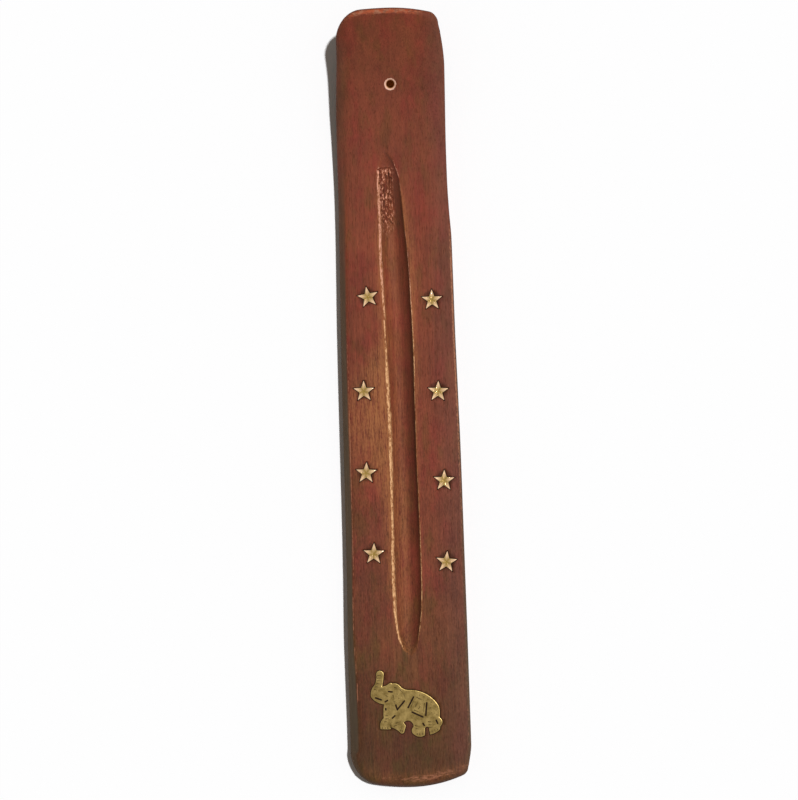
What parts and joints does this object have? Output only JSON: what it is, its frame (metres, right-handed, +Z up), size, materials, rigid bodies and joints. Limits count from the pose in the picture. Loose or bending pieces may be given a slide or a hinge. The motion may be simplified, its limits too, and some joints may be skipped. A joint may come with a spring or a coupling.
{
  "type": "incense stick holder",
  "caption": "Long narrow wooden incense stick holder with a turned-up drilled end, a carved ash groove and inlaid brass star and elephant ornaments.",
  "frame": {"origin": "centre of the footprint on the flat underside", "axes": "+Z up, +Y along the board towards the turned-up hole end, +X to the right with the hole end away"},
  "size_m": [0.0402, 0.26, 0.0188],
  "materials": {
    "stained_wood": "satin, hand sanded",
    "brass": "satin, lightly tarnished",
    "dark_lac": "matte"
  },
  "bodies": {
    "root": {"board": "stained_wood", "star_left_1": "brass", "star_left_2": "brass", "star_left_3": "brass", "star_left_4": "brass", "star_right_1": "brass", "star_right_2": "brass", "star_right_3": "brass", "star_right_4": "brass", "elephant": "brass", "star_bed_left_1": "dark_lac", "star_bed_left_2": "dark_lac", "star_bed_left_3": "dark_lac", "star_bed_left_4": "dark_lac", "star_bed_right_1": "dark_lac", "star_bed_right_2": "dark_lac", "star_bed_right_3": "dark_lac", "star_bed_right_4": "dark_lac", "elephant_bed": "dark_lac"}
  },
  "joints": []
}
